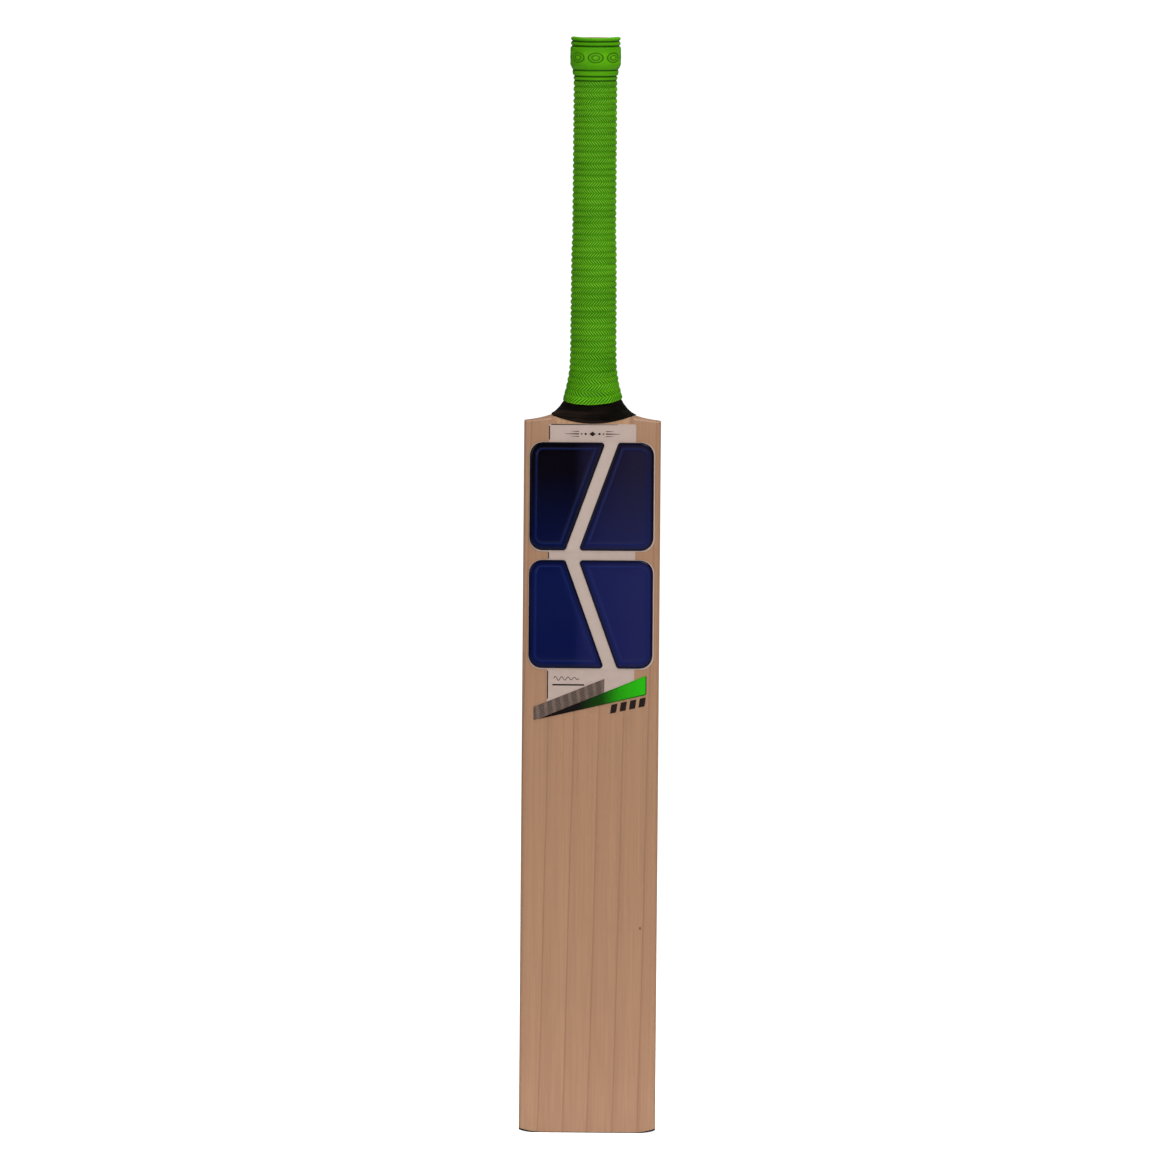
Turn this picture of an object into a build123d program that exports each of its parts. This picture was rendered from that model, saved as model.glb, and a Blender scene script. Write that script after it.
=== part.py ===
"""Cricket bat, full size, short handle: a willow blade with a spliced, laminated cane handle.

Millimetres. +X runs across the blade, -Y is the way the hitting face looks and +Z runs up the blade to
the handle. The origin is the middle of the flat under the toe.
"""

import math
import os

from build123d import *

# ---- driving dimensions ----
BLADE_WIDTH = 107.5
NECK_Z = 556.0  # where the straight handle takes over from the bowed blade
HANDLE_LENGTH = 306.5  # from there to the top of the grip
TOE_DEPTH = 24.0
TOE_EDGE = 20.0
NECK_DEPTH = 34.0
NECK_EDGE = 21.5
FACE_BOW = 5.0  # how far the middle of the face lies behind its two ends
FACE_CROWN = 0.9  # how far the face falls back towards its long edges
FRONT_ROUND = 3.5
BACK_ROUND = 7.0
SHOULDER_ROUND = 2.4

# height, depth at the spine, depth at the long edges
BLADE_STATIONS = [
    (-4, TOE_DEPTH, TOE_EDGE),
    (30, 31.0, 24.5),
    (90, 46.0, 31.0),
    (160, 59.0, 36.0),
    (220, 64.0, 38.0),
    (300, 61.0, 36.5),
    (380, 52.5, 32.0),
    (470, 41.5, 26.0),
    (NECK_Z, NECK_DEPTH, NECK_EDGE),
]

# radius and height above the neck line, from the shoulders up the flare and along the shaft
FLARE = [
    (57.5, 4.0),
    (45.0, 5.6),
    (37.0, 7.4),
    (31.4, 9.6),
    (27.2, 12.8),
    (23.4, 18.0),
    (18.9, 27.5),
    (16.7, 41.0),
    (15.9, 68.0),
]
SHAFT = [(15.9, 68.0), (15.3, 130.0), (14.7, 195.0), (14.7, 305.3)]
CANE_END_ROUND = 1.6

# which way the surface faces, and the ends of the right shoulder's front and back edges
SHOULDER_EDGES = [
    (-1, (32.0, -12.0, 562.9), (58.0, -12.0, 558.9)),
    (1, (32.0, 11.4, 565.1), (60.0, 7.6, 557.3)),
]

SPLICE_TIP_Z = 430.0
SPLICE_SIDE = (30.0, 567.0)  # a point on the splice's flank, half-width and height

CANE_SPLIT_X = 5.3  # the three canes of a slip meet at plus and minus this
CHEEK_X = 16.0  # the cheeks stand outside this
CHEEK_TOP = 34.0
SPRING_PITCH = 7.6
SPRING_THICKNESS = 1.5
SPRING_FOOT = -38.0
REACH = 400.0  # longer than anything it has to cut

TWINE_THICKNESS = 0.7
TWINE_FOOT = 24.0
TWINE_TOP = 304.5
TAPE_THICKNESS = 0.8
TAPE_TOP = 34.0
TAPE_EDGE = [(-32.0, 565.0), (0.0, 558.3), (32.0, 565.0)]  # lower edge, x and z

# radius over the ribs and height above the neck line
GRIP_LINE = [
    (26.8, 14.0),
    (24.5, 19.5),
    (22.9, 23.4),
    (21.7, 27.5),
    (20.2, 35.3),
    (19.0, 43.3),
    (18.6, 51.0),
    (18.4, 67.0),
    (18.3, 99.0),
    (18.0, 138.0),
    (17.5, 150.0),
    (17.3, 300.0),
]
GRIP_EDGE = [(-24.0, 577.2), (0.0, 573.9), (24.0, 577.2)]  # lower edge, x and z
GRIP_FRONT = 2.1  # over the flat front and back of the neck
RIB_PITCH = 4.7
RIB_DEPTH = 0.55
RIB_FOOT = 13.5
RIB_COUNT = 55
COLLAR = [
    (17.05, 273.7),
    (16.5, 275.0),
    (17.6, 277.4),
    (17.9, 281.0),
    (19.6, 284.4),
    (19.7, 290.0),
    (19.6, 296.4),
    (18.4, 299.2),
    (19.1, 301.3),
    (18.4, 303.1),
    (19.2, 304.2),
]
LIP_ROUND = 1.3

# the underside of the toe: height, half-width of the flat and radius of the turned-up corners
TOE_RUBBER = (0.0, 40.0, 46.0)
TOE_WOOD = (0.6, 36.0, 52.0)

FILM = 0.3  # every printed film is this thick
STRIP = [(-34.3, 333.0), (34.3, 350.0), (34.3, 558.0), (-34.3, 558.0)]
STRIP_ROUND = 1.5
EMBLEM_WIDTH = 98.8
EMBLEM_HEIGHT = 86.4
EMBLEM_ROUND = 10.5
EMBLEM_MARGIN = 0.8  # the backing film shows this far round the panels
EMBLEM_UPPER_Z = 500.7
EMBLEM_LOWER_Z = 408.0
DOME = 1.7
DOME_ROUND = 0.8
SLASH_WIDTH = 9.5
SLASH_LEAN = 20.0
PANEL_CORNER = 2.5

# the flash under the emblem, as x and z
WEDGE = [(-40.2, 325.6), (43.8, 345.1), (43.8, 360.3)]
BAND = [(-44.5, 325.0), (-41.4, 325.6), (10.8, 346.9), (10.8, 357.6), (-44.5, 335.0)]
TALLY_FOOT = (15.6, 330.2)
TALLY_SLOPE = 12.5
TALLY_BARS = 4
TALLY_PITCH = 7.6
TALLY_BAR = 4.8
TALLY_HEIGHT = 7.0
TALLY_LEAN = 8.0

HALF = BLADE_WIDTH / 2
FACE_Y = -TOE_DEPTH / 2
BOW_RADIUS = NECK_Z**2 / (8 * FACE_BOW) + FACE_BOW / 2
HANDLE_LEAN = math.asin(NECK_Z / 2 / BOW_RADIUS)  # the handle carries on along the face's line

HANDLE = Plane(
    origin=(0, FACE_Y + NECK_DEPTH / 2, NECK_Z),
    x_dir=(1, 0, 0),
    z_dir=(0, -math.sin(HANDLE_LEAN), math.cos(HANDLE_LEAN)),
)
HANDLE_AXIS = Axis(HANDLE.origin, HANDLE.z_dir)
HANDLE_SIDE = Plane(origin=HANDLE.origin, x_dir=(1, 0, 0), z_dir=-HANDLE.y_dir)

os.makedirs("parts", exist_ok=True)


def write(part, name):
    """Labels one finished piece and writes its STEP file."""
    part.label = name
    export_step(part, f"parts/{name}.step")


# ---- outer shapes shared by the pieces ----


def face_line(z):
    """Y of the middle of the face at height z on the bowed blade."""
    rise = math.sqrt(BOW_RADIUS**2 - (z - NECK_Z / 2) ** 2)
    return FACE_Y + rise - (BOW_RADIUS - FACE_BOW)


def blade_section(z, spine, edge, grow=0.0):
    """The blade's cross-section at height z, with its face and back moved out by grow."""
    face = face_line(z) - grow
    corner = face + FACE_CROWN + FRONT_ROUND
    back_edge = face + edge + 2 * grow
    back_spine = face + spine + 2 * grow
    slope = back_edge + 0.42 * (back_spine - back_edge)
    with BuildSketch(Plane.XY.offset(z)) as section:
        with BuildLine():
            half_face = ThreePointArc(
                (0, face),
                (HALF / 2, face + FACE_CROWN / 4),
                (HALF - FRONT_ROUND, face + FACE_CROWN),
            )
            TangentArc(half_face @ 1, (HALF, corner), tangent=(1, 0))
            side = Line((HALF, corner), (HALF, back_edge - BACK_ROUND))
            back_arc = TangentArc(side @ 1, (HALF - BACK_ROUND, back_edge), tangent=(0, 1))
            Spline(
                back_arc @ 1,
                (HALF * 0.42, slope),
                (0, back_spine),
                tangents=[(-1, 0), (-1, 0)],
            )
            mirror(about=Plane.YZ)
        make_face()
    return section.sketch


def neck_block(grow=0.0):
    """The blade's last cross-section carried straight on along the handle."""
    with BuildPart() as block:
        section = blade_section(NECK_Z, NECK_DEPTH, NECK_EDGE, grow)
        extrude(section, amount=REACH, dir=HANDLE.z_dir)
    return block.part


def moved_out(points, grow):
    """Points along a smooth curve through the given ones, moved square off it by grow."""
    curve = Spline(*points)
    steps = [i / 10 for i in range(11)]
    places = [(curve @ t, (curve % t).rotate(Axis.Z, -90)) for t in steps]
    return [(p.X + n.X * grow, p.Y + n.Y * grow) for p, n in places]


def turned_shape(grow=0.0):
    """The shoulders, flare and shaft as one turned body round the handle's axis."""
    flare = moved_out(FLARE, grow) if grow else FLARE
    shaft = [(r + grow, h) for r, h in SHAFT]
    foot = flare[0]
    rim = (shaft[-1][0] - CANE_END_ROUND, shaft[-1][1])
    with BuildPart() as turned:
        with BuildSketch(HANDLE_SIDE):
            with BuildLine():
                Spline(*flare[:-1], shaft[0], tangents=[(-1, 0.12), (-0.012, 1)])
                shaft_top = (shaft[-1][0], rim[1] - CANE_END_ROUND)
                side = Spline(*shaft[:-1], shaft_top, tangents=[(-0.012, 1), (0, 1)])
                TangentArc(side @ 1, rim, tangent=(0, 1))
                Polyline(rim, (0, rim[1]), (0, -2 * REACH), (REACH, -2 * REACH), (REACH, foot[1]), foot)
            make_face()
        revolve(axis=HANDLE_AXIS)
    return turned.part


def covered(grow, low, high):
    """The neck and handle, moved out by grow, between two heights above the neck line."""
    with BuildPart() as body:
        add(turned_shape(grow))
        add(neck_block(grow), mode=Mode.INTERSECT)
        with BuildSketch(HANDLE.offset(low)):
            Rectangle(REACH, REACH)
        extrude(amount=high - low, mode=Mode.INTERSECT)
    return body.part


def over_arc(points):
    """Everything above an arc drawn across the bat, right through from front to back."""
    left, _, right = points
    with BuildPart() as body:
        with BuildSketch(Plane.XZ):
            with BuildLine():
                ThreePointArc(*points)
                Polyline(right, (REACH, right[1] + 3), (REACH, 3 * REACH), (-REACH, 3 * REACH), left)
            make_face()
        extrude(amount=REACH, both=True)
    return body.part


# ---- the outer wood: blade and handle in one, before they are divided ----

with BuildPart() as wood:
    for height, spine_depth, edge_depth in BLADE_STATIONS:
        add(blade_section(height, spine_depth, edge_depth))
    loft()
    add(neck_block())
    add(turned_shape(), mode=Mode.INTERSECT)


def toe_block(height, flat_half, radius):
    """Everything above an underside that is flat in the middle and turned up at the corners."""
    reach = HALF + 10
    end = (reach, height + radius - math.sqrt(radius**2 - (reach - flat_half) ** 2))
    with BuildPart() as block:
        with BuildSketch(Plane.XZ):
            with BuildLine():
                flat = Line((0, height), (flat_half, height))
                TangentArc(flat @ 1, end, tangent=(1, 0))
                Polyline(end, (reach, 3 * REACH), (0, 3 * REACH))
                mirror(about=Plane.YZ)
            make_face()
        extrude(amount=REACH, both=True)
    return block.part


def splice_block():
    """The wedge of the splice and everything above it."""
    half, height = SPLICE_SIDE
    with BuildPart() as block:
        with BuildSketch(Plane.XZ):
            with BuildLine():
                Polyline(
                    (0, SPLICE_TIP_Z),
                    (half, height),
                    (REACH, height),
                    (REACH, 3 * REACH),
                    (-REACH, 3 * REACH),
                    (-REACH, height),
                    (-half, height),
                    (0, SPLICE_TIP_Z),
                )
            make_face()
        extrude(amount=REACH, both=True)
    return block.part


splice = splice_block()

# ---- blade: one piece of willow, cut away for the splice and the toe guard ----


def rounding_cutter(outward, start, end):
    """What has to go to round a nearly straight edge on top of the shoulder."""
    path = Vector(*end) - Vector(*start)
    corner = Plane(origin=start, x_dir=(0, outward, 0), z_dir=path)
    flip = 1 if corner.y_dir.Z > 0 else -1
    with BuildPart() as cutter:
        with BuildSketch(corner):
            with Locations((0, 0)):
                Rectangle(2 * SHOULDER_ROUND, 2 * SHOULDER_ROUND)
            with Locations((-SHOULDER_ROUND, -flip * SHOULDER_ROUND)):
                Circle(SHOULDER_ROUND, mode=Mode.SUBTRACT)
        extrude(amount=path.length)
    return cutter.part


with BuildPart() as blade:
    add(wood.part)
    add(toe_block(*TOE_WOOD), mode=Mode.INTERSECT)
    add(splice, mode=Mode.SUBTRACT)
    for outward, edge_start, edge_end in SHOULDER_EDGES:
        cutter = rounding_cutter(outward, edge_start, edge_end)
        add(cutter, mode=Mode.SUBTRACT)
        add(mirror(cutter, about=Plane.YZ), mode=Mode.SUBTRACT)
write(blade.part, "blade")

# ---- toe guard: thin rubber sheet glued under the toe ----

with BuildPart() as toe_guard:
    add(wood.part)
    add(toe_block(*TOE_RUBBER), mode=Mode.INTERSECT)
    add(toe_block(*TOE_WOOD), mode=Mode.SUBTRACT)
write(toe_guard.part, "toe_guard")

# ---- handle: cheeks, rubber springs and canes, all cut from one blank ----

with BuildPart() as blank:
    add(wood.part)
    add(splice, mode=Mode.INTERSECT)


def slab(low_x, high_x, low_y, high_y, low_h, high_h):
    """A box in the handle's own frame."""
    with BuildPart() as box:
        with BuildSketch(HANDLE.offset(low_h)):
            with Locations(((low_x + high_x) / 2, (low_y + high_y) / 2)):
                Rectangle(high_x - low_x, high_y - low_y)
        extrude(amount=high_h - low_h)
    return box.part


cheek_boxes = {
    "cheek_left": slab(-REACH, -CHEEK_X, -REACH, REACH, -REACH, CHEEK_TOP),
    "cheek_right": slab(CHEEK_X, REACH, -REACH, REACH, -REACH, CHEEK_TOP),
}
for cheek_name, cheek_box in cheek_boxes.items():
    with BuildPart() as cheek:
        add(blank.part)
        add(cheek_box, mode=Mode.INTERSECT)
    write(cheek.part, cheek_name)

with BuildPart() as core:
    add(blank.part)
    for cheek_box in cheek_boxes.values():
        add(cheek_box, mode=Mode.SUBTRACT)

spring_rows = {"front": -SPRING_PITCH, "middle": 0.0, "back": SPRING_PITCH}
spring_boxes = []
for row, offset in spring_rows.items():
    low_y = offset - SPRING_THICKNESS / 2
    spring_box = slab(-REACH, REACH, low_y, low_y + SPRING_THICKNESS, SPRING_FOOT, REACH)
    spring_boxes.append(spring_box)
    with BuildPart() as spring:
        add(core.part)
        add(spring_box, mode=Mode.INTERSECT)
    write(spring.part, f"spring_{row}")

with BuildPart() as cane_block:
    add(core.part)
    for spring_box in spring_boxes:
        add(spring_box, mode=Mode.SUBTRACT)

slip_edges = [-REACH, -SPRING_PITCH, 0.0, SPRING_PITCH, REACH]
cane_edges = [-REACH, -CANE_SPLIT_X, CANE_SPLIT_X, REACH]
for slip in range(4):
    for column, side_name in enumerate(("left", "middle", "right")):
        cane_box = slab(
            cane_edges[column],
            cane_edges[column + 1],
            slip_edges[slip],
            slip_edges[slip + 1],
            -REACH,
            REACH,
        )
        with BuildPart() as cane:
            add(cane_block.part)
            add(cane_box, mode=Mode.INTERSECT)
        write(cane.part, f"cane_{slip + 1}_{side_name}")

# ---- twine: the winding round the handle ----

with BuildPart() as twine_binding:
    add(covered(TWINE_THICKNESS, TWINE_FOOT, TWINE_TOP))
    add(covered(0.0, TWINE_FOOT, TWINE_TOP), mode=Mode.SUBTRACT)
write(twine_binding.part, "twine_binding")

# ---- shoulder tape: on the wood at the neck, over the foot of the twine ----

tape_low = covered(TAPE_THICKNESS, 0.0, TWINE_FOOT)
tape_high = covered(TWINE_THICKNESS + TAPE_THICKNESS, TWINE_FOOT, TAPE_TOP)
with BuildPart() as tape_over_twine:
    add(tape_high)
    add(covered(TWINE_THICKNESS, TWINE_FOOT, TAPE_TOP), mode=Mode.SUBTRACT)

with BuildPart() as shoulder_tape:
    add(tape_low)
    add(covered(0.0, 0.0, TWINE_FOOT), mode=Mode.SUBTRACT)
    add(tape_over_twine.part)
    add(over_arc(TAPE_EDGE), mode=Mode.INTERSECT)
write(shoulder_tape.part, "shoulder_tape")

# ---- grip: a ribbed rubber sleeve with a collar at its top ----


def grip_radius(height):
    """Radius over the grip's ribs at a height above the neck line."""
    for (low_r, low_h), (high_r, high_h) in zip(GRIP_LINE, GRIP_LINE[1:]):
        if height <= high_h:
            return low_r + (high_r - low_r) * (height - low_h) / (high_h - low_h)
    return GRIP_LINE[-1][0]


rib_edges = [RIB_FOOT + RIB_PITCH * i for i in range(RIB_COUNT + 1)]
bore = SHAFT[-1][0] + TWINE_THICKNESS
with BuildPart() as sleeve:
    with BuildSketch(HANDLE_SIDE):
        with BuildLine():
            for low, high in zip(rib_edges, rib_edges[1:]):
                middle = (low + high) / 2
                ThreePointArc(
                    (grip_radius(low) - RIB_DEPTH, low),
                    (grip_radius(middle), middle),
                    (grip_radius(high) - RIB_DEPTH, high),
                )
            rib_end = (grip_radius(rib_edges[-1]) - RIB_DEPTH, rib_edges[-1])
            Polyline(rib_end, *COLLAR)
            lip_foot = (COLLAR[-1][0], HANDLE_LENGTH - LIP_ROUND)
            lip_top = (COLLAR[-1][0] - LIP_ROUND, HANDLE_LENGTH)
            Line(COLLAR[-1], lip_foot)
            TangentArc(lip_foot, lip_top, tangent=(0, 1))
            rib_start = (grip_radius(rib_edges[0]) - RIB_DEPTH, rib_edges[0])
            Polyline(
                lip_top,
                (bore + LIP_ROUND, HANDLE_LENGTH),
                (bore, HANDLE_LENGTH - LIP_ROUND),
                (bore, rib_edges[0]),
                rib_start,
            )
        make_face()
    revolve(axis=HANDLE_AXIS)

with BuildPart() as rubber_grip:
    add(sleeve.part)
    add(neck_block(TWINE_THICKNESS + TAPE_THICKNESS + GRIP_FRONT), mode=Mode.INTERSECT)
    add(over_arc(GRIP_EDGE), mode=Mode.INTERSECT)
    add(tape_low, mode=Mode.SUBTRACT)
    add(tape_high, mode=Mode.SUBTRACT)
    add(covered(TWINE_THICKNESS, TAPE_TOP, TWINE_TOP), mode=Mode.SUBTRACT)
write(rubber_grip.part, "rubber_grip")

# ---- printed films and domed emblems on the face ----


def moved(body, distance):
    """A copy of a body moved towards the front."""
    return body.moved(Location((0, -distance, 0)))


def skin(outline, inner, outer):
    """A layer that follows the face under an outline, between two distances in front of it."""
    with BuildPart() as layer:
        with BuildSketch(Plane.XZ):
            add(outline)
        extrude(amount=HALF)
        add(moved(wood.part, outer), mode=Mode.INTERSECT)
        add(moved(wood.part, inner), mode=Mode.SUBTRACT)
    return layer.part


def emblem_outline(middle_z, margin):
    """A rounded tile on the face."""
    with BuildSketch() as tile:
        with Locations((0, middle_z)):
            RectangleRounded(
                EMBLEM_WIDTH - 2 * margin,
                EMBLEM_HEIGHT - 2 * margin,
                EMBLEM_ROUND - margin,
            )
    return tile.sketch


def panel_outline(middle_z, side, lean):
    """One half of a tile: what is left of it on one side of a leaning channel."""
    with BuildSketch() as panel:
        add(emblem_outline(middle_z, EMBLEM_MARGIN))
        with Locations(Location((0, middle_z), lean)):
            Rectangle(SLASH_WIDTH, 3 * EMBLEM_HEIGHT, mode=Mode.SUBTRACT)
        with Locations(Location((0, middle_z), lean)):
            with Locations((side * REACH / 2, 0)):
                Rectangle(REACH, REACH, mode=Mode.INTERSECT)
        inner_corners = panel.vertices().sort_by(lambda v: abs(v.X))[:2]
        fillet(inner_corners, radius=PANEL_CORNER)
    return panel.sketch


def polygon_outline(points):
    """A flat shape with straight sides, drawn on the face."""
    with BuildSketch() as shape:
        with BuildLine():
            Polyline(*points, close=True)
        make_face()
    return shape.sketch


def tally_bar(low_along):
    """A leaning bar that stands on the tally's sloping foot line."""
    slope = math.radians(TALLY_SLOPE)
    lean = math.radians(TALLY_LEAN)
    high_along = low_along + TALLY_BAR
    corners = [(low_along, 0), (high_along, 0), (high_along, TALLY_HEIGHT), (low_along, TALLY_HEIGHT)]
    points = []
    for along, up in corners:
        x = TALLY_FOOT[0] + along * math.cos(slope) + up * math.sin(lean)
        z = TALLY_FOOT[1] + along * math.sin(slope) + up * math.cos(lean)
        points.append((x, z))
    return polygon_outline(points)


with BuildSketch() as strip_outline:
    add(polygon_outline(STRIP))
    fillet(strip_outline.vertices().sort_by(Axis.Y)[-2:], radius=STRIP_ROUND)
with BuildPart() as face_strip:
    add(skin(strip_outline.sketch, 0, FILM))
write(face_strip.part, "face_strip")


def over_strip(outline):
    """A film laid over the strip and down onto the wood beside it."""
    with BuildPart() as film:
        add(skin(outline, 0, 2 * FILM))
        add(face_strip.part, mode=Mode.SUBTRACT)
    return film.part


emblems = {"upper": (EMBLEM_UPPER_Z, -SLASH_LEAN), "lower": (EMBLEM_LOWER_Z, SLASH_LEAN)}
for emblem, (middle_z, lean) in emblems.items():
    with BuildPart() as backing:
        add(over_strip(emblem_outline(middle_z, 0)))
    write(backing.part, f"emblem_{emblem}_backing")
    for side_name, side in (("left", -1), ("right", 1)):
        with BuildPart() as dome:
            add(skin(panel_outline(middle_z, side, lean), 2 * FILM, 2 * FILM + DOME))
            front = dome.faces().sort_by(Axis.Y)[0]
            fillet(front.edges(), radius=DOME_ROUND)
        write(dome.part, f"emblem_{emblem}_{side_name}")

with BuildPart() as flash_band:
    add(over_strip(polygon_outline(BAND)))
write(flash_band.part, "flash_band")

with BuildPart() as flash_wedge:
    add(over_strip(polygon_outline(WEDGE)))
write(flash_wedge.part, "flash_wedge")

for bar in range(TALLY_BARS):
    with BuildPart() as flash_tally:
        add(skin(tally_bar(bar * TALLY_PITCH), 0, FILM))
    write(flash_tally.part, f"flash_tally_{bar + 1}")
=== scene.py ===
"""The looks of the cricket bat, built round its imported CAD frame. Metres; +Z up the handle, -Y the face."""

import math

import bpy
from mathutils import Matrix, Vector, noise
from mathutils.bvhtree import BVHTree


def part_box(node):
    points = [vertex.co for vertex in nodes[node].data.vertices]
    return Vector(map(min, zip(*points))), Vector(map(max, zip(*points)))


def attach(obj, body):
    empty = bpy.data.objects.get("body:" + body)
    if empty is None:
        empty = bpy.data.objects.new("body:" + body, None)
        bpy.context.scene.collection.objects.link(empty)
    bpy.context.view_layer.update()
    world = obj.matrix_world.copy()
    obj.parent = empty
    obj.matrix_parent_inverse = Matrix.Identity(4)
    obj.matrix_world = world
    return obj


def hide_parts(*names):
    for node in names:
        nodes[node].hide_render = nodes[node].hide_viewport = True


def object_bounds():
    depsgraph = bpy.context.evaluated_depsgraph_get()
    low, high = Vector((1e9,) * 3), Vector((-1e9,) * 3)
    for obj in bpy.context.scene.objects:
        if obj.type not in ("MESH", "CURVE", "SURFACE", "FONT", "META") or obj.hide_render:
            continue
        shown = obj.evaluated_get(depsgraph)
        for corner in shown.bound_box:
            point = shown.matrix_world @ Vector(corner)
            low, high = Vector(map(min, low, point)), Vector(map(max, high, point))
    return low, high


MM = 0.001

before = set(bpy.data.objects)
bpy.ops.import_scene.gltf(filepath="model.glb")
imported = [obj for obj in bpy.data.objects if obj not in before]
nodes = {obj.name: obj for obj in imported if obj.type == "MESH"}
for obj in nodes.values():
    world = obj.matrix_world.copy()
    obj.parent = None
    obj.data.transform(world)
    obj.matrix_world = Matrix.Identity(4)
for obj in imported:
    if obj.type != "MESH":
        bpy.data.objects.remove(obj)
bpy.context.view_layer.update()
low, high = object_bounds()
middle = (low + high) / 2

# ---- the handle's axis: it leans forward from the middle of the neck ----

NECK = Vector((0, 5 * MM, 556 * MM))
BOW_HALF = 278  # from the middle of the face's bow up to the neck, in mm
BOW_RADIUS = 7731  # in mm
LEAN = math.asin(BOW_HALF / BOW_RADIUS)
HANDLE_TOP = 306.5  # height of the grip's top above the neck, in mm
UP = Vector((0, -math.sin(LEAN), math.cos(LEAN)))
BACK = Vector((0, math.cos(LEAN), math.sin(LEAN)))
RIGHT = Vector((1, 0, 0))


def outward(angle):
    """The direction square to the handle at an angle, from +X towards the back."""
    return RIGHT * math.cos(angle) + BACK * math.sin(angle)


def on_handle(angle, radius, height):
    """A point round the handle, from its angle, radius and height above the neck, in metres."""
    return NECK + UP * height + outward(angle) * radius


# ---- meshes ----

BESIDE = 90 * MM  # further out from the handle's axis than anything on it
IN_FRONT = -0.2  # Y of a place well in front of the face


def surface_of(*names):
    """A search tree over some CAD nodes, in the row frame."""
    points, faces = [], []
    for name in names:
        mesh = nodes[name].data
        offset = len(points)
        points += [v.co.copy() for v in mesh.vertices]
        faces += [[offset + i for i in p.vertices] for p in mesh.polygons]
    return BVHTree.FromPolygons(points, faces)


def radius_at(tree, angle, height):
    """How far out a CAD surface lies from the handle's axis, or None where there is none."""
    hit, _, _, distance = tree.ray_cast(on_handle(angle, BESIDE, height), -outward(angle), BESIDE)
    return None if hit is None else BESIDE - distance


def front_at(tree, x, z):
    """Y of a CAD surface as seen from the front, at x and z."""
    return tree.ray_cast(Vector((x, IN_FRONT, z)), Vector((0, 1, 0)))[0].y


def piece(name, points, faces, material, stands_for=(), smooth=True, relief=None):
    """A new visible piece that rides on the bat. Relief says how deep in a groove each point lies, 0 to 1;
    the grip and resin materials paint shade and highlights from it.
    """
    mesh = bpy.data.meshes.new(name)
    mesh.from_pydata([tuple(p) for p in points], [], faces)
    mesh.materials.append(material)
    mesh.polygons.foreach_set("use_smooth", [smooth] * len(mesh.polygons))
    if relief:
        mesh.attributes.new("relief", "FLOAT", "POINT").data.foreach_set("value", relief)
    mesh.validate()
    made = bpy.data.objects.new(name, mesh)
    bpy.context.scene.collection.objects.link(made)
    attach(made, "root")
    if stands_for:
        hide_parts(*stands_for)


def quad(row, after, column, columns):
    """The face between two closed rings of points, from one column to the next."""
    side = (column + 1) % columns
    return (row * columns + column, row * columns + side, after * columns + side, after * columns + column)


def tube_faces(rows, columns):
    """Quads joining closed rings of points into a closed tube, first row to last and back to the first."""
    return [quad(row, (row + 1) % rows, column, columns) for row in range(rows) for column in range(columns)]


def stepped(table, value):
    """Straight-line interpolation in a table of (where, what)."""
    for (low_at, low_value), (high_at, high_value) in zip(table, table[1:]):
        if value <= high_at:
            share = max(0.0, (value - low_at) / (high_at - low_at))
            return low_value + (high_value - low_value) * share
    return table[-1][1]


# ---- materials ----


class Look:
    """A material under construction: a Principled shader, and the node chains that feed it."""

    def __init__(self, name, **sockets):
        """A new material, with some of the shader's sockets set; an underscore stands for a space."""
        self.material = bpy.data.materials.new(name)
        self.material.use_nodes = True
        self.tree = self.material.node_tree
        self.shader = self.tree.nodes["Principled BSDF"]
        for socket, value in sockets.items():
            self.shader.inputs[socket.replace("_", " ")].default_value = value
        self.place = self.tree.nodes.new("ShaderNodeTexCoord").outputs["Object"]

    def add(self, kind, *links, **settings):
        """A node with its first inputs linked or set in order, and its settings."""
        made = self.tree.nodes.new("ShaderNode" + kind)
        for key, value in settings.items():
            setattr(made, key, value)
        for index, value in enumerate(links):
            if value is None:
                continue
            if isinstance(value, bpy.types.NodeSocket):
                self.tree.links.new(value, made.inputs[index])
            else:
                made.inputs[index].default_value = value
        return made

    def math(self, operation, *values):
        """The result of a sum, product or other operation on values."""
        return self.add("Math", *values, operation=operation).outputs[0]

    def stretched(self, x, y, z):
        """The place, scaled along each axis."""
        return self.add("Mapping", self.place, None, None, (x, y, z)).outputs[0]

    def noise(self, place, scale=1.0, detail=4.0, roughness=0.55):
        """Cloudy noise, 0 to 1."""
        made = self.add("TexNoise", place)
        made.inputs["Scale"].default_value = scale
        made.inputs["Detail"].default_value = detail
        made.inputs["Roughness"].default_value = roughness
        return made.outputs["Fac"]

    def ramp(self, value, *stops):
        """A value turned into another through (position, level or colour) stops."""
        made = self.add("ValToRGB", value)
        elements = made.color_ramp.elements
        while len(elements) < len(stops):
            elements.new(1.0)
        for element, (position, level) in zip(elements, stops):
            element.position = position
            element.color = (*level, 1) if isinstance(level, tuple) else (level, level, level, 1)
        return made.outputs[0]

    def mixed(self, share, first, second, blend="MIX"):
        """Two colours mixed, by a share that is a number or a link."""
        made = self.add("Mix", data_type="RGBA", blend_type=blend)
        for socket, value in zip((made.inputs[0], made.inputs[6], made.inputs[7]), (share, first, second)):
            if isinstance(value, bpy.types.NodeSocket):
                self.tree.links.new(value, socket)
            elif socket.type == "RGBA":
                socket.default_value = (*value, 1)
            else:
                socket.default_value = value
        return made.outputs[2]

    def feed(self, socket, value):
        """Links a value to one of the shader's sockets."""
        self.tree.links.new(value, self.shader.inputs[socket])

    def bump(self, height, distance, strength):
        """Fine relief from a height of 0 to 1 that stands for a distance in metres."""
        made = self.add("Bump")
        made.inputs["Strength"].default_value = strength
        made.inputs["Distance"].default_value = distance
        self.tree.links.new(height, made.inputs["Height"])
        self.feed("Normal", made.outputs[0])

    def split(self):
        """The place's x, y and z."""
        return self.add("SeparateXYZ", self.place).outputs


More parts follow.
